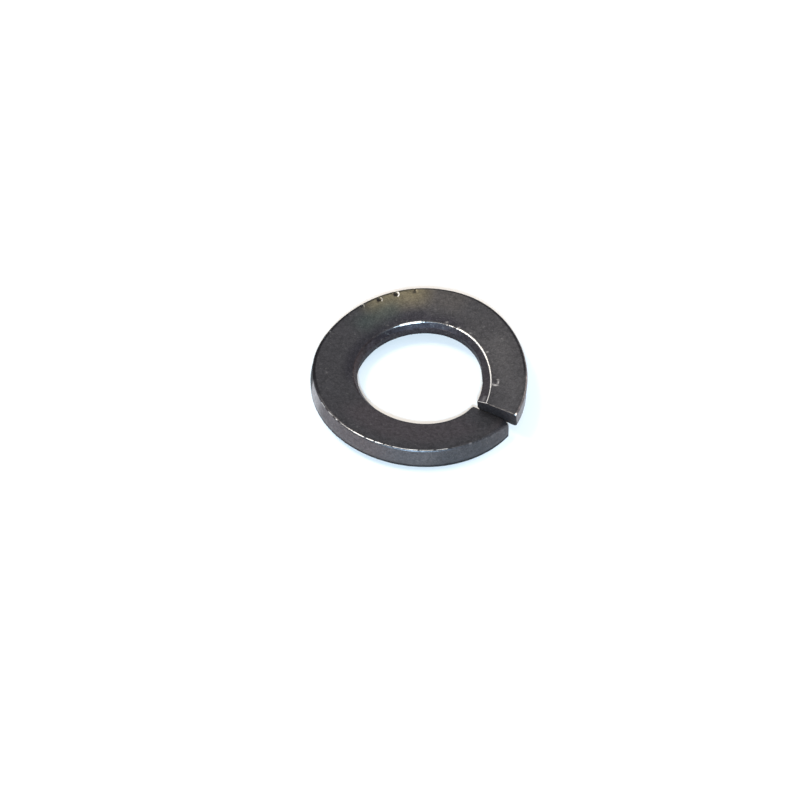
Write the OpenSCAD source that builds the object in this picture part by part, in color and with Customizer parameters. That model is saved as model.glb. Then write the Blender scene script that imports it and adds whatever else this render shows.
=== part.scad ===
// Spring lock washer: one open ring of spring steel, coiled left-handed and split by a slanted cut.
// Lengths are in millimetres and angles in degrees.
// The bolt's axis is Z. The ring's lowest edge is at Z = 0, and angles are measured about Z from +X.

/* [Hole and outer wall] */
// Diameter of the hole for the bolt
bore_d = 10.2; // [5:0.1:30]
// Diameter over the outer wall at its foot
outer_d = 18.0; // [8:0.1:50]
// How far the outer wall draws in between its foot and its top
wall_lean = 0.16; // [0:0.02:0.5]
// How much less it draws in where it stands most upright
upright = 0.12; // [0:0.02:0.4]
// Angle of the middle of that upright stretch
upright_angle = 93; // [60:1:120]
// Half the length of the upright stretch
upright_span = 63; // [20:1:80]

/* [Section] */
// Height of the section at the outer wall
outer_height = 1.8; // [1:0.05:6]
// Height of the section at the hole
inner_height = 1.17; // [0.8:0.05:6]
// How far the underside rises from the outer wall to the hole
underside_rise = 0.08; // [0:0.02:0.5]
// Share of the height below which the outer wall stands upright
wall_bend = 0.35; // [0.1:0.05:0.8]
// Radius of the rounded top edge of the outer wall
top_round = 0.25; // [0.05:0.05:0.6]
// How much sharper that edge is where the wall stands most upright
upright_sharpness = 0.5; // [0:0.1:0.8]
// Width of the small broken edges on the underside
edge_break = 0.1; // [0.05:0.01:0.4]
// Width of the dull corner between the top face and the bevel
dull_corner = 0.02; // [0.01:0.01:0.1]
// Width of the bevel between the top face and the hole
bevel_width = 0.32; // [0.1:0.02:1]
// Height of that bevel
bevel_height = 0.5; // [0.1:0.05:1]
// Extra width of the bevel at the raised end
bevel_growth = 0.48; // [0:0.02:1]
// Length of the stretch before the raised end where the bevel widens
bevel_span = 100; // [10:5:180]
// How much lower the bevel is at the raised end
bevel_drop = 0.16; // [0:0.02:0.3]

/* [Coil] */
// Height between the two ends of the coil
end_step = 1.06; // [0:0.02:6]
// Height of the slight arch that lifts two opposite sides of the ring
arch = 0.16; // [0:0.02:1]
// Angle of the lower of the two arch lines
arch_angle = 140; // [0:5:180]
// Depth of the two flatter stretches of the outer wall, at the top edge
flat_depths = [0.22, 0.11];
// Angles of the middles of those stretches
flat_angles = [20, 138];
// Depth of the flatter stretch at the foot of the wall
foot_flat_depth = 0.3; // [0:0.02:0.5]
// Angle of the middle of the stretch at the foot
foot_flat_angle = 5; // [-20:1:40]
// Half the length of each stretch
flat_span = 46; // [10:1:60]

/* [Split] */
// Angle of the middle of the split
split_angle = -35.75; // [-180:0.1:180]
// Width of the split at the outer wall
split_width = 0.2; // [0.1:0.02:3]
// Slant of the raised end's cut face; the low end's stands upright
cut_slant = 8; // [0:0.5:40]
// Length of the stretch before the raised end where the hole's side bends outward
flare_span = 55; // [10:1:90]
// Length of the stretch before the raised end where the outer wall bends outward
outer_flare_span = 42; // [10:1:90]
// Outward bend of the outer wall at the raised end
outer_flare = 0.56; // [0:0.02:1]
// Outward bend of the hole's side at the raised end
inner_flare = 0.58; // [0:0.05:1]
// Extra outward bend of the top edge at the raised end
top_flare = 0.15; // [0:0.05:0.5]
// Outward bend of the top edge at the low end
low_flare = 0.13; // [0:0.01:0.6]
// Extra rounding of the top edge at the low end
low_round = 0.3; // [0:0.05:0.5]
// Extra width of that rounding at the corner of the low end
low_corner = 0.25; // [0:0.05:1]
// Length of the stretch before the low end where its top edge changes
low_span = 18; // [5:1:45]
// How far the section deepens towards the hole at the raised end
end_depth = 0.4; // [0:0.05:0.8]
// How far the whole underside rises at the raised end
end_lift = 0.16; // [0:0.02:0.4]
// Extra rounding of the foot of the outer wall at the raised end
end_round = 0.34; // [0:0.02:0.4]

/* [Nicks] */
// Angles of the nicks in the top edge of the outer wall
nick_angles = [93.4, 104.3, 114.3, 125.1, 135.5];
// Radius of each nick
nick_radii = [0.13, 0.2, 0.17, 0.15, 0.1];
// How far the nicks reach in from the outer wall
nick_reach = [0.28, 0.42, 0.4, 0.34, 0.3];
// Depth of the nicks at the outer wall, below the top edge
nick_depth = 0.09; // [0.02:0.01:0.3]
// Tilt of the nicks' floors, which rise towards the outer wall
nick_tilt = 12; // [0:1:40]

/* [Hidden] */
steps = 144;
round_steps = 4;
bore_facets = 180;
nick_facets = 24;
overlap = 0.1;
clear = 1;
half_split = asin(split_width / outer_d);
start_angle = split_angle + half_split;
sweep = 360 - 2 * half_split;
base = outer_height / 2 + arch;
tall = end_step + outer_height + 2 * arch + 2 * clear;

// Share of the way from the raised end, 0, to the low end, 1.
function turn(a) = (a - start_angle) / sweep;

// Height of the middle of the section at angle a.
function coil_z(a) = base + end_step * (1 - turn(a)) - arch * cos(2 * (a - arch_angle));

// A smooth bump that is 1 at its middle and 0 beyond its half-length.
function bump(a, middle, half) = abs(a - middle) < half ? pow(cos(90 * (a - middle) / half), 2) : 0;

// 0 along most of the ring, growing to 1 at the raised end.
function near_end(a, span = flare_span) = pow(max(0, 1 - (a - start_angle) / span), 2);

// 0 along most of the ring, growing to 1 at the low end.
function near_low(a) = pow(max(0, 1 - (start_angle + sweep - a) / low_span), 2);

// 1 in the middle of the stretch where the outer wall stands most upright.
function back_share(a) = bump(a, upright_angle, upright_span);

function wall_r(a) = outer_d / 2 + outer_flare * near_end(a, outer_flare_span);

function foot_r(a) = wall_r(a) - foot_flat_depth * bump(a, foot_flat_angle, flat_span);

function top_r(a) = wall_r(a) - wall_lean + upright * back_share(a)
    + top_flare * near_end(a) + low_flare * near_low(a)
    - flat_depths[0] * bump(a, flat_angles[0], flat_span)
    - flat_depths[1] * bump(a, flat_angles[1], flat_span);

// The rounded top edge is sharper where the wall stands most upright, and rounder at the low end.
function round_height(a) = top_round * (1 - upright_sharpness * back_share(a)) + low_round * near_low(a);

function round_width(a) = round_height(a) + low_corner * pow(near_low(a), 3);

// Where the swept body's hole side lies; the true bore is cut afterwards.
function hole_r(a) = bore_d / 2 + (inner_flare + overlap) * near_end(a);

function bevel_w(a) = bevel_width + bevel_growth * near_end(a, bevel_span);

// A point of an ellipse about its middle: t is 0 at the outer side, 90 above and -90 below.
function turned(t, width, height) = [width * cos(t), height * sin(t)];

// Outline of the section at angle a, as [radius, height from the section's middle].
function section(a) =
    let (
        level = -outer_height / 2,
        head = outer_height / 2,
        foot = level + end_lift * near_end(a, outer_flare_span),
        hole_foot = foot + underside_rise - end_depth * near_end(a),
        hole_head = level + underside_rise + inner_height,
        soft = edge_break + end_round * near_end(a),
        h = hole_r(a),
        w = bevel_w(a),
        drop = bevel_height - bevel_drop * near_end(a),
        slope = drop / w,
        tilt = (head - hole_head) / (top_r(a) - h - w),
        rim_w = round_width(a),
        rim_h = round_height(a),
        turns = [for (i = [0 : round_steps]) 90 * i / round_steps]
    )
    concat(
        [[h - overlap, hole_head - drop - overlap * slope],
         [h - overlap, hole_foot + edge_break + overlap],
         [h + edge_break, hole_foot]],
        [for (t = turns) [foot_r(a) - soft, foot + soft] + turned(t - 90, soft, soft)],
        [[foot_r(a), level + wall_bend * outer_height]],
        [for (t = turns)
            [top_r(a) - rim_w, head - rim_h - tilt * rim_w * (1 - cos(t))] + turned(t, rim_w, rim_h)],
        [[h + w + dull_corner, hole_head],
         [h + w - dull_corner, hole_head - dull_corner * slope]]
    );

// The slant of a section fades away from the raised end to the low end.
function slant(a) = cut_slant * (1 - turn(a));

// One outline in space; every point is shifted along the ring by the section's slant.
function station(a) = [
    for (p = section(a))
        let (b = a - p[1] * tan(slant(a)) / p[0] * 180 / PI)
        [p[0] * cos(b), p[0] * sin(b), coil_z(b) + p[1]]
];

module coil() {
    stations = [for (i = [0 : steps]) station(start_angle + sweep * i / steps)];
    m = len(stations[0]);
    points = [for (s = stations) for (p = s) p];
    sides = [
        for (i = [0 : steps - 1])
            for (j = [0 : m - 1])
                let (k = (j + 1) % m)
                each [[i * m + j, (i + 1) * m + k, i * m + k], [i * m + j, (i + 1) * m + j, (i + 1) * m + k]]
    ];
    first_cap = [[for (j = [0 : m - 1]) j]];
    last_cap = [[for (j = [m - 1 : -1 : 0]) steps * m + j]];
    polyhedron(points = points, faces = concat(sides, first_cap, last_cap), convexity = 6);
}

// A small round groove laid across the top edge of the outer wall, and running out past it.
module nick(a, radius, reach) {
    head = coil_z(a) + outer_height / 2;
    rotate([0, 0, a])
        translate([top_r(a), 0, head + radius - nick_depth])
            rotate([0, 90 - nick_tilt, 0])
                translate([0, 0, -reach])
                    cylinder(h = 3 * reach, r = radius, $fn = nick_facets);
}

module lock_washer() {
    color([0.27, 0.26, 0.28])
        difference() {
            coil();
            translate([0, 0, -clear])
                cylinder(h = tall, r = bore_d / 2, $fn = bore_facets);
            for (i = [0 : len(nick_angles) - 1])
                nick(nick_angles[i], nick_radii[i], nick_reach[i]);
        }
}

lock_washer();
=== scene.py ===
"""Spring lock washer on a pale floor, dressed for its photograph.

The ring follows the same outline as the part's source, in millimetres and degrees,
and becomes a mesh in metres.
"""
import math

import bpy
import numpy as np
from mathutils import Matrix, Vector, noise


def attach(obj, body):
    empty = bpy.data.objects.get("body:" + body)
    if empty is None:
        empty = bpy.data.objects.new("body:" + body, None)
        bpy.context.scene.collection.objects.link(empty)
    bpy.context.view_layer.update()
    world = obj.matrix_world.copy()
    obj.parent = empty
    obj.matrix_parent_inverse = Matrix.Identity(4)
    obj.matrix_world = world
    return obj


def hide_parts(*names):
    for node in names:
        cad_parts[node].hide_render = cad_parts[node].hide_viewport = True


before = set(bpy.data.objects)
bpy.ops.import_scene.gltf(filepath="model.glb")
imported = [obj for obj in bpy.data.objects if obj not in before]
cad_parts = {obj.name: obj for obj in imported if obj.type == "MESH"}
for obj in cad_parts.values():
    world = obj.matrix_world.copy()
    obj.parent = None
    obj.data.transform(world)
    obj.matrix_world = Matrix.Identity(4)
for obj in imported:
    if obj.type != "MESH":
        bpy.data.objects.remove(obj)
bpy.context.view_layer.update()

MM = 0.001

# Sizes of the ring, the same as in the part's source.
BORE_R = 5.1
OUTER_R = 9.0
WALL_LEAN = 0.16
UPRIGHT = 0.12
UPRIGHT_ANGLE = 93.0
UPRIGHT_SPAN = 63.0
OUTER_HEIGHT = 1.8
INNER_HEIGHT = 1.17
UNDERSIDE_RISE = 0.08
WALL_BEND = 0.35
TOP_ROUND = 0.25
UPRIGHT_SHARPNESS = 0.5
EDGE_BREAK = 0.1
BEVEL_WIDTH = 0.32
BEVEL_HEIGHT = 0.5
BEVEL_GROWTH = 0.48
BEVEL_SPAN = 100.0
BEVEL_DROP = 0.16
END_STEP = 1.06
ARCH = 0.16
ARCH_ANGLE = 140.0
FLAT_DEPTHS = (0.22, 0.11)
FLAT_ANGLES = (20.0, 138.0)
FOOT_FLAT_DEPTH = 0.3
FOOT_FLAT_ANGLE = 5.0
FLAT_SPAN = 46.0
SPLIT_ANGLE = -35.75
SPLIT_WIDTH = 0.2
CUT_SLANT = 8.0
FLARE_SPAN = 55.0
OUTER_FLARE_SPAN = 42.0
OUTER_FLARE = 0.56
INNER_FLARE = 0.58
TOP_FLARE = 0.15
LOW_FLARE = 0.13
LOW_ROUND = 0.3
LOW_CORNER = 0.25
LOW_SPAN = 18.0
END_DEPTH = 0.4
END_LIFT = 0.16
END_ROUND = 0.34
OVERLAP = 0.1
NICK_ANGLES = (93.4, 104.3, 114.3, 125.1, 135.5)
NICK_RADII = (0.13, 0.2, 0.17, 0.15, 0.1)
NICK_REACH = (0.28, 0.42, 0.4, 0.34, 0.3)
NICK_DEPTH = 0.09
NICK_TILT = 12.0

# Wear that widens the hole a little at the left.
WEAR = 0.12
WEAR_ANGLE = 182.0
WEAR_SPAN = 40.0
# It fades out on the underside between these distances from the hole.
WEAR_FADE = (0.1, 0.5)

# How far the small roundings reach from the corners that they soften.
UNDER_SOFT = 0.03
BEND_SOFT = 0.08
HOLE_EDGE_SOFT = 0.05
LAND_SOFT = 0.06
# Rounding of the edges of the two cut faces, and the sizes of the rings of points inside such a face,
# as shares of its own size.
CUT_EDGE = 0.04
CAP_SHARES = (0.85, 0.7, 0.5, 0.25, 0.04)
# Length over which each nick's inner end fades out.
NICK_EASE = 0.05

# Depths of the marks pressed into the surface.
PIT_DEPTH = 0.05
DENT_DEPTH = 0.02

# The surface's unevenness: its depth, and the size and share of its long and its short waves.
UNEVEN_DEPTH = 0.008
LONG_WAVE = 1.5
LONG_SHARE = 0.5
SHORT_WAVE = 0.5
SHORT_SHARE = 0.3

# Fineness of the mesh: sections round the ring, and the step between sections where they lie closer.
SECTIONS = 480
FINE_STEP = 0.24
# How far the stretch of closer sections reaches past the outermost nicks.
NICK_MARGIN = 2.5
# First and last angle of the other such stretch, which has the marks at the right.
MARKS_LOW = -19.0
MARKS_HIGH = 3.0

HALF_SPLIT = math.degrees(math.asin(SPLIT_WIDTH / (2 * OUTER_R)))
START = SPLIT_ANGLE + HALF_SPLIT
SWEEP = 360 - 2 * HALF_SPLIT
BASE = OUTER_HEIGHT / 2 + ARCH
FOOT = -OUTER_HEIGHT / 2
HEAD = OUTER_HEIGHT / 2

# The sides of the section, in the order in which its outline runs.
SIDES = ("under", "foot_edge", "wall", "rim", "top", "hole_edge", "bevel", "land")


def coil_z(a):
    """Height of the middle of the section at angle a."""
    return BASE + END_STEP * (1 - (a - START) / SWEEP) - ARCH * np.cos(np.radians(2 * (a - ARCH_ANGLE)))


def smooth(x, low, high):
    """0 below low, 1 above high, smooth between them."""
    t = np.clip((x - low) / (high - low), 0, 1)
    return t * t * (3 - 2 * t)


def bump(a, middle, half):
    """A smooth bump that is 1 at its middle and 0 beyond its half-length."""
    return np.where(abs(a - middle) < half, np.cos(np.radians(90 * (a - middle) / half)) ** 2, 0.0)


def near_end(a, span=FLARE_SPAN):
    """0 along most of the ring, growing to 1 at the raised end."""
    return np.clip(1 - (a - START) / span, 0, 1) ** 2


def near_low(a):
    """0 along most of the ring, growing to 1 at the low end."""
    return np.clip(1 - (START + SWEEP - a) / LOW_SPAN, 0, 1) ** 2


def back_share(a):
    """1 in the middle of the stretch where the outer wall stands most upright."""
    return bump(a, UPRIGHT_ANGLE, UPRIGHT_SPAN)


# The next seven give radii, widths and heights of the section's parts at angle a.


def wall_r(a):
    return OUTER_R + OUTER_FLARE * near_end(a, OUTER_FLARE_SPAN)


def foot_r(a):
    return wall_r(a) - FOOT_FLAT_DEPTH * bump(a, FOOT_FLAT_ANGLE, FLAT_SPAN)


def top_r(a):
    bends = UPRIGHT * back_share(a) + TOP_FLARE * near_end(a) + LOW_FLARE * near_low(a)
    flats = sum(depth * bump(a, angle, FLAT_SPAN) for depth, angle in zip(FLAT_DEPTHS, FLAT_ANGLES))
    return wall_r(a) - WALL_LEAN + bends - flats


def round_height(a):
    return TOP_ROUND * (1 - UPRIGHT_SHARPNESS * back_share(a)) + LOW_ROUND * near_low(a)


def round_width(a):
    return round_height(a) + LOW_CORNER * near_low(a) ** 3


def hole_r(a):
    return BORE_R + (INNER_FLARE + OVERLAP) * near_end(a)


def bevel_w(a):
    return BEVEL_WIDTH + BEVEL_GROWTH * near_end(a, BEVEL_SPAN)


def straight(p, q, count):
    """Points strictly between p and q."""
    p, q = np.array(p), np.array(q)
    return [p + (q - p) * i / (count + 1) for i in range(1, count + 1)]


def softened(before, corner, after, back, count):
    """A corner made round: it leaves each side back millimetres away from the corner."""
    before, corner, after = np.array(before), np.array(corner), np.array(after)
    start = corner + (before - corner) / np.linalg.norm(before - corner) * back
    end = corner + (after - corner) / np.linalg.norm(after - corner) * back
    shares = [i / count for i in range(count + 1)]
    return [(1 - t) ** 2 * start + 2 * t * (1 - t) * corner + t * t * end for t in shares]


def turned(middle, width, height, low, high, count):
    """Points of an ellipse about its middle, from low to high degrees above its outer side."""
    turns = np.radians(np.linspace(low, high, count))
    return [(middle[0] + width * math.cos(t), middle[1] + height * math.sin(t)) for t in turns]


def section(a):
    """Outline of the section at angle a: one list of points, [radius, height], for each side."""
    h, w = float(hole_r(a)), float(bevel_w(a))
    top, foot = float(top_r(a)), float(foot_r(a))
    rim_w, rim_h = float(round_width(a)), float(round_height(a))
    end = float(near_end(a))
    floor = FOOT + END_LIFT * float(near_end(a, OUTER_FLARE_SPAN))
    hole_floor = floor + UNDERSIDE_RISE - END_DEPTH * end
    hole_head = FOOT + UNDERSIDE_RISE + INNER_HEIGHT
    soft = EDGE_BREAK + END_ROUND * end
    drop = BEVEL_HEIGHT - BEVEL_DROP * end
    tilt = (HEAD - hole_head) / (top - h - w)
    inner = max(BORE_R, h - OVERLAP)

    low_land = (inner, hole_floor + EDGE_BREAK + h - inner)
    high_land = (inner, hole_head - drop - (h - inner) * drop / w)
    under_in = (h + EDGE_BREAK, hole_floor)
    under_out = (foot - soft, floor)
    bend = (foot, FOOT + WALL_BEND * OUTER_HEIGHT)
    wall_top = (top, HEAD - rim_h)
    top_out = (top - rim_w, HEAD - tilt * rim_w)
    top_in = (h + w, hole_head)

    under = softened(high_land, low_land, under_in, UNDER_SOFT, 2)
    under += softened(low_land, under_in, under_out, UNDER_SOFT, 2)
    under += straight(under_in, under_out, 5)
    foot_edge = turned((foot - soft, floor + soft), soft, soft, -90, 0, 7)
    wall = straight(foot_edge[-1], (foot, bend[1] - BEND_SOFT), 3)
    wall += softened(foot_edge[-1], bend, wall_top, BEND_SOFT, 4)
    wall += straight(wall[-1], wall_top, 6)
    rim = turned((top - rim_w, HEAD - rim_h), rim_w, rim_h, 0, 90, 13)
    rim = [(r, z - tilt * (top - r)) for r, z in rim]
    face = straight(top_out, (top_in[0] + LAND_SOFT, hole_head + LAND_SOFT * tilt), 28)
    hole_edge = softened(top_out, top_in, high_land, HOLE_EDGE_SOFT, 5)
    bevel = straight(hole_edge[-1], high_land, 8)
    land = softened(top_in, high_land, low_land, LAND_SOFT, 3) + straight(high_land, low_land, 4)
    return [under, foot_edge, wall, rim, face, hole_edge, bevel, land]


def station_angles():
    """Angles of the sections, closer together along the nicks and along the marks at the right."""
    even = np.linspace(START, START + SWEEP, SECTIONS + 1)
    nicks = np.arange(min(NICK_ANGLES) - NICK_MARGIN, max(NICK_ANGLES) + NICK_MARGIN, FINE_STEP)
    marks = np.arange(MARKS_LOW, MARKS_HIGH, FINE_STEP)
    return np.unique(np.round(np.concatenate([even, nicks, marks]), 4))


def place(a, points):
    """A section's points in space, shifted along the ring by the section's slant, in millimetres."""
    r, z = points[:, 0], points[:, 1]
    slant = math.radians(CUT_SLANT * (1 - (a - START) / SWEEP))
    b = a - np.degrees(z * math.tan(slant) / r)
    return np.stack([r * np.cos(np.radians(b)), r * np.sin(np.radians(b)), coil_z(b) + z], -1)


class Ring:
    """The grid of the ring's surface: one row for each section, one column for each point of the outline."""

    def __init__(self):
        angles = station_angles()
        outlines = [section(a) for a in angles]
        self.side = np.concatenate([np.full(len(part), i) for i, part in enumerate(outlines[0])])
        flat = [np.array([p for part in outline for p in part], float) for outline in outlines]
        rows = [place(a, points) for a, points in zip(angles, flat)]
        step = math.degrees(CUT_EDGE / OUTER_R)
        rows[0] = place(angles[0] + step, flat[0])
        rows[-1] = place(angles[-1] - step, flat[-1])
        first, last = self.cap(angles[0], flat[0]), self.cap(angles[-1], flat[-1])
        self.caps = len(first)
        self.co = np.array(first[::-1] + rows + last)
        self.angle = np.concatenate([[angles[0]] * self.caps, angles, [angles[-1]] * self.caps])
        self.place_on_side()

    @staticmethod
    def cap(a, points):
        """The cut face at angle a, as rings of points that shrink towards its middle."""
        middle = (points.min(0) + points.max(0)) / 2
        half = (points.max(0) - points.min(0)) / 2
        shares = [1 - CUT_EDGE / half, 1 - 1.5 * CUT_EDGE / half]
        shares += [np.full(2, s) for s in CAP_SHARES]
        return [place(a, middle + (points - middle) * s) for s in shares]

    def place_on_side(self):
        """Polar places of the points, and how far each lies from the two edges of the top face."""
        self.theta = np.degrees(np.arctan2(self.co[..., 1], self.co[..., 0]))
        self.radius = np.hypot(self.co[..., 0], self.co[..., 1])
        # angles run on past 180 degrees, as the coil does
        self.theta += 360 * (np.abs(self.theta + 360 - self.angle[:, None]) < 180)
        self.from_hole = self.radius - (hole_r(self.theta) + bevel_w(self.theta))
        self.from_rim = top_r(self.theta) - self.radius
        self.along = np.zeros(len(self.side))
        for i in range(len(SIDES)):
            where = self.side == i
            self.along[where] = np.linspace(0, 1, where.sum())

    def on(self, *names):
        """1 on the named sides and 0 elsewhere and on the cut faces, for every point of the grid."""
        row = np.isin(self.side, [SIDES.index(name) for name in names]) * 1.0
        mask = np.broadcast_to(row, self.co.shape[:2]).copy()
        mask[: self.caps] = 0
        mask[-self.caps :] = 0
        return mask

    def outward(self):
        """The direction away from the metal at every point."""
        du = np.gradient(self.co, axis=0)
        dv = np.roll(self.co, -1, axis=1) - np.roll(self.co, 1, axis=1)
        normal = np.cross(du, dv)
        normal[: self.caps + 1] = 0
        normal[-self.caps - 1 :] = 0
        size = np.linalg.norm(normal, axis=-1, keepdims=True)
        return normal / np.maximum(size, 1e-9)

    def cut_nicks(self):
        """Presses each nick into the rim as a round groove."""
        for angle, radius, reach in zip(NICK_ANGLES, NICK_RADII, NICK_REACH):
            a, rise = math.radians(angle), math.radians(NICK_TILT)
            out = np.array([math.cos(a), math.sin(a), 0.0])
            side = np.array([-math.sin(a), math.cos(a), 0.0])
            axis = out * math.cos(rise) + np.array([0, 0, math.sin(rise)])
            up = np.cross(axis, side)
            head = float(coil_z(angle)) + HEAD
            d = self.co - out * float(top_r(angle)) - np.array([0, 0, head + radius - NICK_DEPTH])
            across, along, above = d @ side, d @ axis, d @ up
            floor = -np.sqrt(np.clip(radius**2 - across**2, 0, None))
            within = (np.abs(across) < radius) & (along > -reach) & (above > floor) & (above < radius)
            ease = np.clip((along + reach) / NICK_EASE, 0, 1)
            self.co += np.where(within, (floor - above) * ease, 0.0)[..., None] * up

    def wear_hole(self):
        """The hole is worn a little wider at the left."""
        fade = smooth(self.radius, BORE_R + WEAR_FADE[0], BORE_R + WEAR_FADE[1])
        near = self.on("land", "under") * (1 - fade)
        shift = WEAR * near * bump(self.theta, WEAR_ANGLE, WEAR_SPAN)
        self.co[..., 0] += shift * np.cos(np.radians(self.theta))
        self.co[..., 1] += shift * np.sin(np.radians(self.theta))


def window(a, low, high, soft):
    """1 between two angles, fading to 0 over soft degrees outside them."""
    return smooth(a, low - soft, low) * (1 - smooth(a, high, high + soft))


def spot(x, middle, half):
    """A soft spot along one measure, 1 at its middle."""
    return np.exp(-(((x - middle) / half) ** 2))


def sample_noise(co, size, seed):
    """Smooth noise between about -1 and 1 at every point, with waves about size millimetres long."""
    shift = Vector((seed * 7.3, seed * 3.1, seed * 1.7))
    flat = co.reshape(-1, 3) / size
    return np.array([noise.noise(Vector(p) + shift) for p in flat]).reshape(co.shape[:2])


# The marks and masks below take angles in degrees and distances in millimetres.

# Stretches of the outer edge painted bright as rubbed steel and as highlight, as first angle, last angle and
# strength.
FRONT_RUBS_AND_HIGHLIGHTS = (
    (205.8, 210.0, 0.6),
    (213.4, 217.4, 0.55),
    (219.9, 221.0, 0.8),
    (223.4, 229.0, 0.45),
    (229.4, 233.2, 0.55),
    (233.6, 239.6, 0.72),
    (241.0, 245.4, 0.66),
    (246.2, 250.4, 0.76),
    (251.6, 254.8, 0.55),
    (256.2, 264.6, 0.65),
    (265.2, 269.4, 0.95),
    (270.2, 277.2, 0.6),
    (279.0, 285.2, 0.65),
    (287.5, 294.5, 0.25),
)

# Stretches of the hole's edge painted bright as rubbed steel and as highlight, as first angle, last angle,
# strength and share of the edge's width.
HOLE_RUBS_AND_HIGHLIGHTS = (
    (-38.0, -20.0, 0.8, 0.42),
    (-20.0, 10.0, 1.0, 0.5),
    (10.0, 53.5, 1.0, 0.65),
    (55.0, 55.8, 1.0, 1.5),
    (57.0, 59.0, 0.3, 0.42),
    (59.8, 63.5, 0.75, 0.5),
    (65.0, 66.5, 0.5, 0.42),
    (68.5, 84.0, 0.3, 0.42),
    (86.2, 87.6, 0.6, 0.6),
    (89.2, 108.0, 1.0, 0.8),
    (108.0, 114.0, 0.5, 0.5),
)

# Pits beside the back rim, as angle, radius, size, darkness and brightness of the edge raised beside them;
# the darkness is painted shade in the pit, and the bright edge is bare steel and painted highlight.
PITS = (
    (93.3, 8.59, 0.18, 0.7, 0.12),
    (104.3, 8.56, 0.2, 1.0, 1.0),
    (114.5, 8.47, 0.2, 1.0, 0.5),
    (125.2, 8.56, 0.14, 0.6, 0.45),
    (135.2, 8.4, 0.12, 0.3, 0.2),
)

# Small light flecks, as angle, radius, half-length along the ring, half-width and strength. The four at the
# right, from -17 to -11.6 degrees, are scratches and a painted highlight on the rim of a small dent.
FLECKS = (
    (17.6, 5.82, 0.09, 0.07, 0.5),
    (24.0, 7.4, 0.06, 0.06, 0.2),
    (40.0, 6.9, 0.07, 0.06, 0.2),
    (43.0, 5.7, 0.1, 0.04, 0.35),
    (54.6, 5.62, 0.08, 0.05, 0.6),
    (66.9, 5.66, 0.1, 0.06, 0.6),
    (151.5, 8.55, 0.07, 0.07, 0.3),
    (129.0, 8.72, 0.1, 0.06, 0.3),
    (183.2, 7.65, 0.07, 0.07, 0.3),
    (232.0, 8.1, 0.07, 0.06, 0.15),
    (297.8, 8.72, 0.1, 0.07, 0.3),
    (-17.0, 6.42, 0.07, 0.2, 1.0),
    (-16.2, 6.2, 0.08, 0.05, 0.6),
    (-14.4, 6.58, 0.24, 0.055, 0.75),
    (-11.6, 6.5, 0.07, 0.09, 0.45),
)

# Small dents beside the hole, in the same way, pressed in and darkened with painted shade.
DENTS = (
    (20.0, 5.75, 0.09, 0.05, 0.8),
    (27.0, 5.62, 0.2, 0.03, 0.6),
    (3.4, 5.86, 0.3, 0.035, 0.8),
    (-3.8, 5.94, 0.25, 0.035, 0.7),
    (-7.0, 6.12, 0.1, 0.08, 0.9),
    (-12.5, 6.36, 0.25, 0.14, 0.75),
    (62.5, 5.6, 0.12, 0.04, 0.7),
    (75.0, 5.55, 0.3, 0.03, 0.5),
)


def front_rubs_and_highlights(theta):
    """Strength of the stretches of the outer edge painted as rubbed steel and highlight at each angle,
    taking the strongest.
    """
    total = np.zeros_like(theta)
    for low, high, strength in FRONT_RUBS_AND_HIGHLIGHTS:
        total = np.maximum(total, strength * window(theta, low, high, 0.35))
    return total


def spots(ring, rows):
    """Strength of a list of small marks at each point, taking the strongest."""
    total = np.zeros_like(ring.theta)
    for angle, radius, length, width, strength in rows:
        along = np.radians(ring.theta - angle) * radius
        total = np.maximum(total, strength * spot(along, 0, length) * spot(ring.radius, radius, width))
    return total * ring.on("top", "rim")


def pit_masks(ring):
    """The pits beside the back rim: how deep each point lies in one, which also gives their painted shade,
    and the bright edges beside them, painted as bare steel and highlight.
    """
    deep = np.zeros_like(ring.theta)
    edge = np.zeros_like(ring.theta)
    for angle, radius, size, darkness, brightness in PITS:
        along = np.radians(ring.theta - angle) * radius
        across = ring.radius - radius
        away = np.hypot(along, across * 1.15)
        deep = np.maximum(deep, darkness * (1 - smooth(away, 0.8 * size, 1.3 * size)))
        right = smooth(-along / np.maximum(away, 0.01), 0.15, 0.7)
        edge = np.maximum(edge, brightness * spot(away, 1.55 * size, 0.25 * size) * right)
    face = ring.on("top", "rim")
    return deep * face, edge * face


def light_marks(ring):
    """Small light scratches, some also a painted highlight: the flecks, and a worn patch on the bevel beside
    the raised end.
    """
    worn = ring.on("bevel") * window(ring.theta, -34, -29.5, 2) * spot(ring.along, 0.35, 0.2)
    return np.maximum(spots(ring, FLECKS), 0.2 * worn)


def hole_rubs_and_highlights(ring):
    """Bare steel and painted highlight along the hole's top edge."""
    total = np.zeros_like(ring.theta)
    for low, high, strength, width in HOLE_RUBS_AND_HIGHLIGHTS:
        rubbed = strength * window(ring.theta, low, high, 0.7) * spot(ring.along, 0.5, width)
        total = np.maximum(total, rubbed)
    return total * ring.on("hole_edge")


def end_rubs_and_highlights(ring):
    """Bare steel and painted highlight along the top edges of the raised end's cut, and a painted highlight
    at its outer corner.
    """
    total = np.zeros_like(ring.theta)
    edge = ring.caps
    total[edge] = (0.8 * ring.on("hole_edge", "bevel") + 0.25 * ring.on("top"))[edge]
    corner = spot(ring.theta, START, 1.0) * spot(ring.along, 0.55, 0.25) * ring.on("rim")
    return np.maximum(total, corner)


def rub_and_highlight_mask(ring):
    """Where the black finish is worn through to bright steel, which also paints the highlights along these
    edges.
    """
    uneven = 0.5 + 0.5 * sample_noise(ring.co, 0.5, 5)
    middle = np.clip(0.33 + 0.009 * (ring.theta - 206), 0.3, 0.75)
    width = (0.09 + 0.06 * uneven) * (1 - 0.2 * window(ring.theta, 255, 280, 6))
    rim = spot(ring.along, middle, width) * ring.on("rim")
    front = front_rubs_and_highlights(ring.theta) * rim
    return np.clip(np.maximum.reduce([front, hole_rubs_and_highlights(ring), end_rubs_and_highlights(ring), pit_masks(ring)[1]]), 0, 1)


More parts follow.
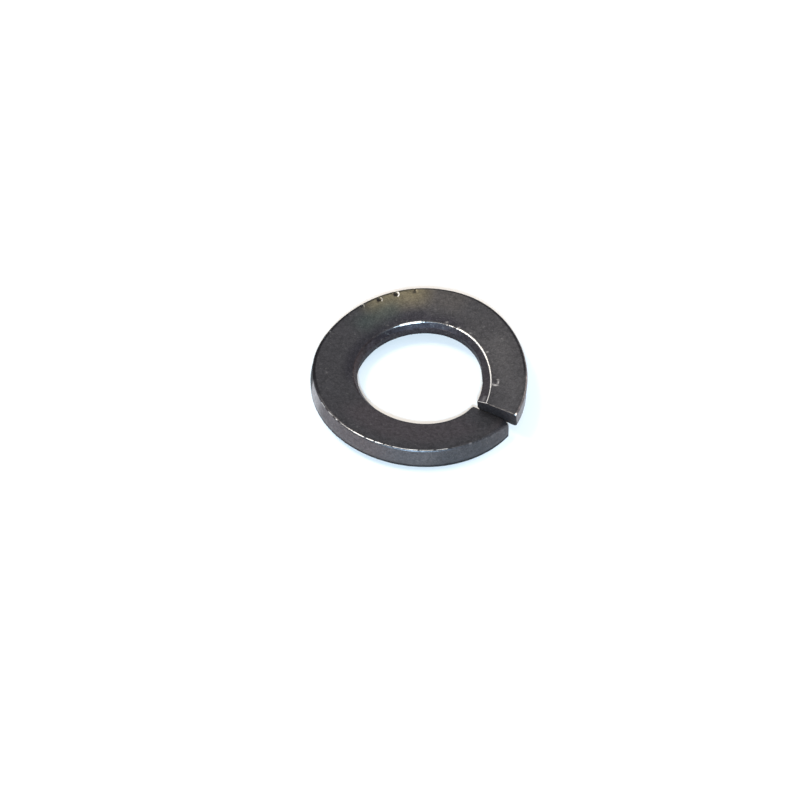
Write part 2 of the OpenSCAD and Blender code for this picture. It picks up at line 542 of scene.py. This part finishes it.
def painted_shade_mask(ring):
    """Painted shade: darkening along the edges, at the foot and the underside, in the pits and in the dents
    beside the hole.
    """
    t = ring.theta
    face, rim = ring.on("top"), ring.on("rim")
    width = 0.24 + 0.14 * window(t, 100, 170, 12)
    back_rim = np.clip(1 - ring.from_rim / width, 0, 1) * face + rim * smooth(ring.along, 0.35, 0.7)
    back_rim *= 0.7 * window(t, -2, 196, 8) + 0.2
    left_side = ring.on("wall", "rim") * smooth(t, 110, 165) * (1 - smooth(t, 187, 192))
    front_rim = np.clip(1 - ring.from_rim / 0.6, 0, 1) * face * window(t, 205, 300, 10) * 0.4
    hole_side = np.clip(1 - ring.from_hole / 0.2, 0, 1) * face * (0.5 * window(t, 130, 330, 12) + 0.35)
    foot = ring.on("foot_edge") * 0.95 + ring.on("wall") * np.clip(1 - ring.along / 0.1, 0, 1) * 0.8
    lower = ring.on("land") * smooth(ring.along, 0.7, 1.0) * 0.4 + ring.on("under") * 0.6
    parts = [back_rim, front_rim, left_side, hole_side, foot, lower, pit_masks(ring)[0], spots(ring, DENTS)]
    return np.clip(np.maximum.reduce(parts), 0, 1)


def tint_masks(ring):
    """Heat colours at the back left, a darker cloud beside the hole, and painted light: paler metal at the
    raised end and in front.
    """
    t, d = ring.theta, ring.from_rim
    face = ring.on("top", "rim")
    straw = window(t, 94, 116, 15) * (1 - smooth(d, 0.4, 2.6)) * face
    green = window(t, 112, 130, 14) * spot(d, 1.7, 0.9) * face
    brown = window(t, 68, 100, 12) * (1 - smooth(d, 1.2, 2.6)) * face
    cloud = window(t, 64, 178, 22) * (1 - smooth(ring.from_hole, 0.3, 1.3))
    back_cloud = window(t, 88, 114, 10) * (1 - smooth(ring.from_hole, 0.6, 1.8))
    cloud = np.maximum(cloud, back_cloud) * ring.on("top")
    # Painted light: the top face is painted paler near the raised end.
    middle = window(t, -40, 22, 14) * spot(d, 1.7, 1.0)
    tip = window(t, -40, -16, 10) * spot(d, 0.7, 0.8)
    raised = (middle + tip) * face
    # Painted light: the front part of the top face is painted paler.
    front = window(t, 225, 300, 18) * (1 - smooth(ring.from_hole, 1.6, 3.0)) * ring.on("top")
    return {
        "straw": straw,
        "green": green,
        "brown": brown,
        "cloud": cloud,
        "front": front,
        "raised": raised,
    }


def wall_masks(ring):
    """Painted reflection and shade on the outer wall: pale at the left and at the raised end, bluish in
    front, dim at the front right.
    """
    t = ring.theta
    wall = ring.on("wall", "foot_edge") + ring.on("rim") * (1 - smooth(ring.along, 0.1, 0.5))
    # The low end's rounding takes the wall's tone, as painted shading of its slope.
    low_end = ring.on("rim", "top") * near_low(t) ** 0.5 * (1 - smooth(ring.from_rim, 0.3, 1.1))
    wall = np.maximum(wall, low_end)
    left = smooth(t, 186, 192) * (1 - smooth(t, 198, 210))
    tip = 0.3 * window(t, -40, -10, 6)
    return {
        "wall": wall,
        "painted_pale_reflection": wall * (left + tip),
        "painted_blue_reflection": wall * window(t, 262, 300, 20),
        "painted_wall_shade": wall * window(t, 286, 320, 14),
    }


def hole_masks(ring):
    """The bevel and the wall of the hole, and the stretches of both that are darkened with painted shade."""
    t = ring.theta
    bevel, land = ring.on("bevel"), ring.on("land")
    on_bevel = 0.9 * window(t, 86, 128, 20) + 0.2 * window(t, -25, 50, 8)
    on_bevel += 0.6 * window(t, 150, 205, 14) + 0.35 * window(t, 168, 200, 8)
    on_land = 0.6 * window(t, -10, 170, 20) + 0.4 * window(t, 160, 200, 12)
    edge = ring.on("hole_edge") * window(t, 138, 205, 12)
    return {"hole": bevel + land + edge, "painted_hole_shade": land * on_land + bevel * on_bevel + edge}


def dent_depth(ring):
    """Depths of the pits and dents in the top face, in millimetres."""
    return PIT_DEPTH * pit_masks(ring)[0] + DENT_DEPTH * spots(ring, DENTS)


def add_mesh(ring):
    """The ring's mesh, with quads between the sections and one small face in the middle of each cut."""
    rows, columns = ring.co.shape[:2]
    i = np.arange(rows - 1)[:, None] * columns
    j = np.arange(columns)[None, :]
    k = (j + 1) % columns
    quads = np.stack([i + j, i + k, i + columns + k, i + columns + j], -1).reshape(-1, 4).tolist()
    last = (rows - 1) * columns
    ends = [list(range(columns))[::-1], [last + q for q in range(columns)]]
    mesh = bpy.data.meshes.new("washer_ring")
    mesh.from_pydata((ring.co * MM).reshape(-1, 3).tolist(), [], quads + ends)
    mesh.validate()
    mesh.shade_smooth()
    return mesh


def add_mask(mesh, name, values):
    mask = mesh.attributes.new(name, "FLOAT", "POINT")
    mask.data.foreach_set("value", np.asarray(values, np.float32).ravel())


def build_washer():
    ring = Ring()
    ring.cut_nicks()
    ring.wear_hole()
    long_waves = LONG_SHARE * sample_noise(ring.co, LONG_WAVE, 1)
    short_waves = SHORT_SHARE * sample_noise(ring.co, SHORT_WAVE, 2)
    # the unevenness only presses inward, so that the ring stays within its box
    uneven = UNEVEN_DEPTH * (long_waves + short_waves - (LONG_SHARE + SHORT_SHARE))
    ring.co += ring.outward() * (uneven - dent_depth(ring))[..., None]
    mesh = add_mesh(ring)
    rub_and_highlight = rub_and_highlight_mask(ring)
    cut = np.zeros_like(ring.theta)
    cut[: ring.caps] = 1.0
    cut[-ring.caps :] = 1.0
    # Bright steel, which also paints the highlights on the rubbed edges.
    add_mask(mesh, "rub_and_highlight", rub_and_highlight)
    add_mask(mesh, "marks", light_marks(ring))
    # The painted shade, kept off the bright steel.
    add_mask(mesh, "painted_shade", painted_shade_mask(ring) * (1 - rub_and_highlight))
    add_mask(mesh, "cut", cut)
    # The tint masks, some of which paint light, reflection and shade.
    for name, values in (tint_masks(ring) | wall_masks(ring) | hole_masks(ring)).items():
        add_mask(mesh, name, values)
    washer = bpy.data.objects.new("washer_ring", mesh)
    bpy.context.scene.collection.objects.link(washer)
    return washer


class Net:
    """Short calls for building a node tree."""

    def __init__(self, material):
        material.use_nodes = True
        self.tree = material.node_tree
        self.tree.nodes.clear()

    def node(self, kind, **values):
        made = self.tree.nodes.new(kind)
        for key, value in values.items():
            setattr(made, key, value)
        return made

    def put(self, socket, value):
        if hasattr(value, "is_output"):
            self.tree.links.new(value, socket)
        else:
            socket.default_value = value

    def math(self, operation, a, b):
        made = self.node("ShaderNodeMath", operation=operation, use_clamp=True)
        self.put(made.inputs[0], a)
        self.put(made.inputs[1], b)
        return made.outputs[0]

    def times(self, a, b):
        return self.math("MULTIPLY", a, b)

    def mask(self, name):
        return self.node("ShaderNodeAttribute", attribute_name=name).outputs["Fac"]

    def ramp(self, value, low, high):
        """0 below low, 1 above high, smooth between them."""
        made = self.node("ShaderNodeMapRange", interpolation_type="SMOOTHSTEP")
        self.put(made.inputs["Value"], value)
        made.inputs["From Min"].default_value = low
        made.inputs["From Max"].default_value = high
        return made.outputs["Result"]

    def noise(self, coords, size, low, high):
        """Noise whose grains measure about size metres, stretched so that low becomes 0 and high 1."""
        made = self.node("ShaderNodeTexNoise")
        self.put(made.inputs["Vector"], coords)
        made.inputs["Scale"].default_value = 1 / size
        made.inputs["Detail"].default_value = NOISE_DETAIL
        made.inputs["Roughness"].default_value = NOISE_ROUGHNESS
        return self.ramp(made.outputs["Fac"], low, high)

    def mix(self, factor, a, b):
        made = self.node("ShaderNodeMix", data_type="RGBA")
        self.put(made.inputs[0], factor)
        self.put(made.inputs[6], a)
        self.put(made.inputs[7], b)
        return made.outputs[2]

    def tint(self, colour, mask, amount, target):
        """Colour drawn towards a target where the named mask is high."""
        return self.mix(self.times(self.mask(mask), amount), colour, (*target, 1))

    def mix_number(self, factor, a, b):
        made = self.node("ShaderNodeMix", data_type="FLOAT")
        self.put(made.inputs[0], factor)
        self.put(made.inputs[2], a)
        self.put(made.inputs[3], b)
        return made.outputs[0]


# The finish's grains: their sizes in millimetres, and how strongly they show.
MOTTLE_SIZE = 0.34
MOTTLE_SHARE = 0.36
WALL_MOTTLE_SHARE = 0.2
GRAIN_SIZE = 0.12
GRAIN_SHARE = 0.34
SPECK_SIZE = 0.21
SPECK_SHARE = 0.35
# Size of the breaks in the bright edges and marks, in millimetres.
BREAK_SIZE = 0.22
# Detail and roughness of all these noises.
NOISE_DETAIL = 3.0
NOISE_ROUGHNESS = 0.6

# Height of the finish's relief in millimetres, and its strength.
RELIEF_HEIGHT = 0.012
RELIEF_STRENGTH = 0.4

# Roughness of the oxide where its mottle is low and high, then on each of these masks, and of bare metal.
OXIDE_ROUGHNESS = (0.38, 0.46)
MASK_ROUGHNESS = (("hole", 0.55), ("painted_shade", 0.6), ("cut", 0.65))
BARE_ROUGHNESS = 0.48

# Colours of the steel: its oxide, the paler grains in it, bare metal (which also paints highlights), light
# scratches (which also paint a small highlight) and black.
OXIDE = (0.1, 0.098, 0.104, 1)
SPECK = (0.22, 0.22, 0.21, 1)
BARE_AND_HIGHLIGHT = (0.9, 0.88, 0.84, 1)
SCRATCH = (0.72, 0.7, 0.68, 1)
BLACK = (0, 0, 0, 1)

# Tints laid on the oxide in the order in which they are laid: mask, share and colour. The pale, bluish and
# dim tints on the outer wall paint its reflections and shade, the wall tint paints shading on the low end's
# rounding, the paler tints in front and at the raised end paint light, and the darkest tints in the hole and
# along the edges paint shade.
TINTS = (
    ("cloud", 0.7, (0.05, 0.048, 0.062)),
    ("front", 0.8, (0.125, 0.11, 0.118)),
    ("wall", 0.9, (0.18, 0.151, 0.153)),
    ("painted_pale_reflection", 0.9, (0.455, 0.413, 0.416)),
    ("painted_blue_reflection", 0.7, (0.133, 0.137, 0.149)),
    ("painted_wall_shade", 0.6, (0.068, 0.072, 0.081)),
    ("hole", 0.9, (0.104, 0.092, 0.103)),
    ("painted_hole_shade", 0.75, (0.03, 0.024, 0.027)),
    ("brown", 0.4, (0.16, 0.145, 0.13)),
    ("straw", 0.9, (0.295, 0.257, 0.165)),
    ("raised", 0.6, (0.15, 0.146, 0.15)),
    ("green", 0.6, (0.1, 0.13, 0.12)),
    ("cut", 0.85, (0.098, 0.084, 0.088)),
    ("painted_shade", 0.9, (0.016, 0.015, 0.018)),
)


def steel_material():
    """Black oxide on steel: nearly black and mottled, with heat colours and edges rubbed bare, and with
    painted highlights, reflections, light and shade.
    """
    material = bpy.data.materials.new("blackened_steel")
    net = Net(material)
    coords = net.node("ShaderNodeTexCoord").outputs["Object"]
    mottle = net.noise(coords, MOTTLE_SIZE * MM, 0.3, 0.7)
    grain = net.noise(coords, GRAIN_SIZE * MM, 0.3, 0.7)

    colour = OXIDE
    for mask, share, target in TINTS:
        colour = net.tint(colour, mask, share, target)
    mottle_share = net.mix_number(net.mask("wall"), MOTTLE_SHARE, WALL_MOTTLE_SHARE)
    colour = net.mix(net.times(mottle, mottle_share), colour, BLACK)
    colour = net.mix(net.times(grain, GRAIN_SHARE), colour, BLACK)
    specks = net.noise(coords, SPECK_SIZE * MM, 0.6, 0.72)
    colour = net.mix(net.times(specks, SPECK_SHARE), colour, SPECK)

    broken = net.noise(coords, BREAK_SIZE * MM, 0.3, 0.55)
    # Bare steel where the rub mask is high, which also paints the highlights along the rubbed edges.
    bare = net.ramp(net.times(net.mask("rub_and_highlight"), net.mix_number(broken, 0.72, 1.0)), 0.12, 0.75)
    colour = net.mix(bare, colour, BARE_AND_HIGHLIGHT)
    scratched = net.times(net.mask("marks"), net.mix_number(broken, 0.6, 1.0))
    colour = net.mix(scratched, colour, SCRATCH)

    rough = net.mix_number(mottle, *OXIDE_ROUGHNESS)
    for mask, roughness in MASK_ROUGHNESS:
        rough = net.mix_number(net.mask(mask), rough, roughness)
    rough = net.mix_number(bare, rough, BARE_ROUGHNESS)

    relief = net.node("ShaderNodeBump")
    relief.inputs["Strength"].default_value = RELIEF_STRENGTH
    relief.inputs["Distance"].default_value = RELIEF_HEIGHT * MM
    net.put(relief.inputs["Height"], net.math("ADD", net.times(mottle, 0.6), net.times(grain, 0.4)))

    shader = net.node("ShaderNodeBsdfPrincipled")
    net.put(shader.inputs["Base Color"], colour)
    net.put(shader.inputs["Roughness"], rough)
    shader.inputs["Metallic"].default_value = 1.0
    shader.inputs["Specular Tint"].default_value = (1, 1, 1, 1)
    net.put(shader.inputs["Normal"], relief.outputs["Normal"])
    net.put(net.node("ShaderNodeOutputMaterial").inputs["Surface"], shader.outputs[0])
    return material


# The floor: half of its side in metres, its colour, and its own light's colour and strength.
FLOOR_HALF = 1.5
FLOOR_COLOUR = (0.5, 0.5, 0.5, 1)
FLOOR_GLOW = (1, 0.94, 0.82, 1)
FLOOR_GLOW_STRENGTH = 0.27


def floor_material():
    """White board with light of its own, so that shadows on it stay pale."""
    material = bpy.data.materials.new("floor_white")
    net = Net(material)
    shader = net.node("ShaderNodeBsdfPrincipled")
    shader.inputs["Base Color"].default_value = FLOOR_COLOUR
    shader.inputs["Roughness"].default_value = 0.9
    shader.inputs["Specular IOR Level"].default_value = 0.0
    shader.inputs["Emission Color"].default_value = FLOOR_GLOW
    shader.inputs["Emission Strength"].default_value = FLOOR_GLOW_STRENGTH
    net.put(net.node("ShaderNodeOutputMaterial").inputs["Surface"], shader.outputs[0])
    return material


def make_floor():
    data = bpy.data.meshes.new("floor")
    corners = [(x * FLOOR_HALF, y * FLOOR_HALF, 0) for x, y in ((-1, -1), (1, -1), (1, 1), (-1, 1))]
    data.from_pydata(corners, [], [(0, 1, 2, 3)])
    data.materials.append(floor_material())
    board = bpy.data.objects.new("floor", data)
    bpy.context.scene.collection.objects.link(board)


# Colours of the room's light at the horizon and overhead.
HORIZON = (0.56, 0.57, 0.62, 1)
OVERHEAD = (0.7, 0.7, 0.72, 1)


def make_world():
    """A pale room, brighter overhead than at the horizon."""
    world = bpy.data.worlds.new("pale_room")
    bpy.context.scene.world = world
    world.use_nodes = True
    tree = world.node_tree
    coords = tree.nodes.new("ShaderNodeTexCoord")
    split = tree.nodes.new("ShaderNodeSeparateXYZ")
    tree.links.new(coords.outputs["Generated"], split.inputs[0])
    blend = tree.nodes.new("ShaderNodeMix")
    blend.data_type = "RGBA"
    blend.inputs[6].default_value = HORIZON
    blend.inputs[7].default_value = OVERHEAD
    tree.links.new(split.outputs["Z"], blend.inputs[0])
    tree.links.new(blend.outputs[2], tree.nodes["Background"].inputs["Color"])


# The lights as name, azimuth, elevation, width in metres, power and colour.
LIGHTS = (
    ("warm_back_left", 166, 60, 0.16, 1.5, (1.0, 0.9, 0.78)),
    ("cool_front", 270, 41, 0.055, 4.6, (0.5, 0.76, 1.0)),
    ("warm_right", 40, 18, 0.2, 1.5, (1.0, 0.84, 0.74)),
)
# How far each light stands from the ring, in metres.
LIGHT_DISTANCE = 0.5


def make_light(name, azimuth, elevation, width, power, colour):
    """A square soft light that faces the ring; azimuth is counted from +X towards +Y."""
    data = bpy.data.lights.new(name, "AREA")
    data.size = width
    data.energy = power
    data.color = colour
    light = bpy.data.objects.new(name, data)
    a, e = math.radians(azimuth), math.radians(elevation)
    direction = Vector((math.cos(a) * math.cos(e), math.sin(a) * math.cos(e), math.sin(e)))
    light.location = direction * LIGHT_DISTANCE
    light.rotation_mode = "QUATERNION"
    light.rotation_quaternion = (-direction).to_track_quat("-Z", "Y")
    bpy.context.scene.collection.objects.link(light)


# The camera stands in front of the ring, raised by 47.3 degrees and turned by half a degree.
ELEVATION = math.radians(47.3)
ROLL = math.radians(-0.5)
DISTANCE = 177 * MM
SENSOR = 36
# The photograph's side in pixels, its scale, and where in it the middle of the ring lies.
PICTURE = 800
PIXELS_PER_MM = 12.17
MIDDLE_PIXEL = (419.8, 374.0)


def make_camera():
    target = Vector((0, 0, (BASE + END_STEP / 2) * MM))
    back = Vector((0, -math.cos(ELEVATION), math.sin(ELEVATION)))
    level = Vector((1, 0, 0))
    upward = back.cross(level)
    right = level * math.cos(ROLL) - upward * math.sin(ROLL)
    up = level * math.sin(ROLL) + upward * math.cos(ROLL)
    data = bpy.data.cameras.new("camera")
    data.sensor_width = SENSOR
    data.sensor_fit = "HORIZONTAL"
    data.lens = PIXELS_PER_MM * DISTANCE / MM / PICTURE * data.sensor_width
    data.shift_x = (PICTURE / 2 - MIDDLE_PIXEL[0]) / PICTURE
    data.shift_y = (MIDDLE_PIXEL[1] - PICTURE / 2) / PICTURE
    data.clip_start = 5 * MM
    camera = bpy.data.objects.new("camera", data)
    bpy.context.scene.collection.objects.link(camera)
    pose = Matrix((right, up, back)).transposed().to_4x4()
    pose.translation = target + back * DISTANCE
    camera.matrix_world = pose
    bpy.context.scene.camera = camera


washer = build_washer()
washer.data.materials.append(steel_material())
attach(washer, "root")
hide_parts("lock_washer")

make_floor()
make_world()
for row in LIGHTS:
    make_light(*row)
make_camera()
bpy.context.scene.view_settings.view_transform = "Standard"
